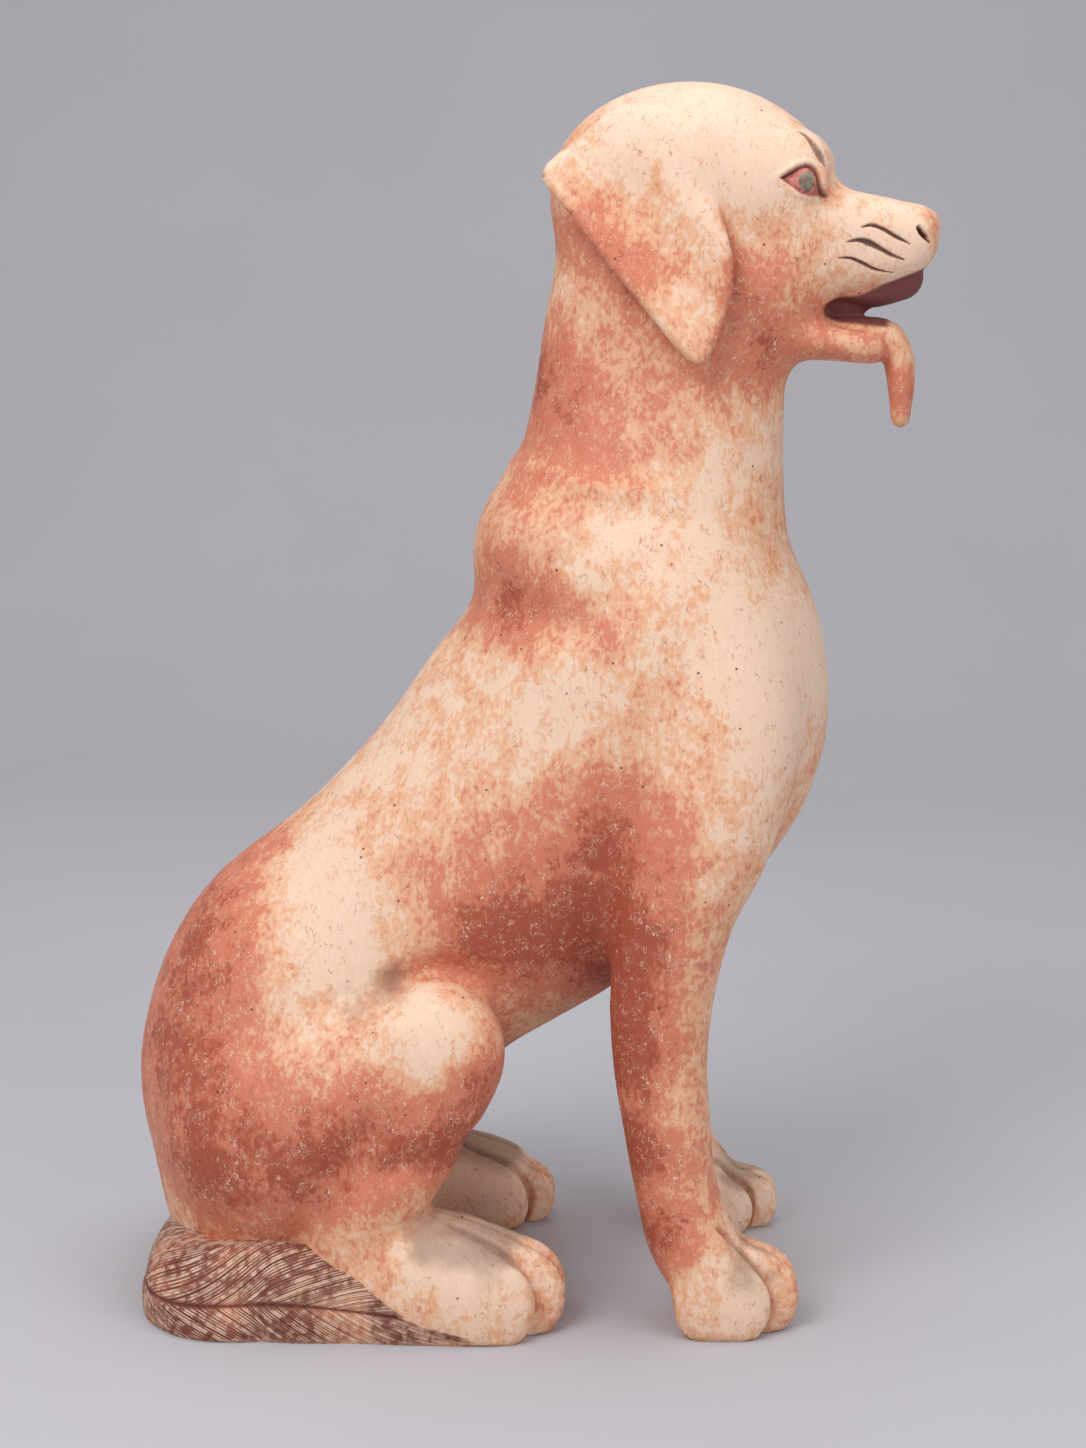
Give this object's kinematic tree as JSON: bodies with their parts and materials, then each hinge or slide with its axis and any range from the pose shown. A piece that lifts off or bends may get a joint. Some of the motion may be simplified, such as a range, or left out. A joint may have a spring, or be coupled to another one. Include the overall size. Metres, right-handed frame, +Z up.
{
  "type": "carved wooden seated dog figurine",
  "caption": "Seated hound carved from solid wood, mouth open with a hanging tongue, long folded-back ears, tail wrapped round the haunch, worn red stain.",
  "frame": {"origin": "middle of the bounding box, on the floor under the dog", "axes": "+X the way the body faces, +Y the dog's left side, +Z up"},
  "size_m": [0.4618, 0.2502, 0.6998],
  "materials": {
    "stained_wood": "old terracotta-red stain over pale wood, rubbed thin on the high places and darker in the hollows, satin-matt"
  },
  "bodies": {
    "root": {"dog": "stained_wood"}
  },
  "joints": []
}
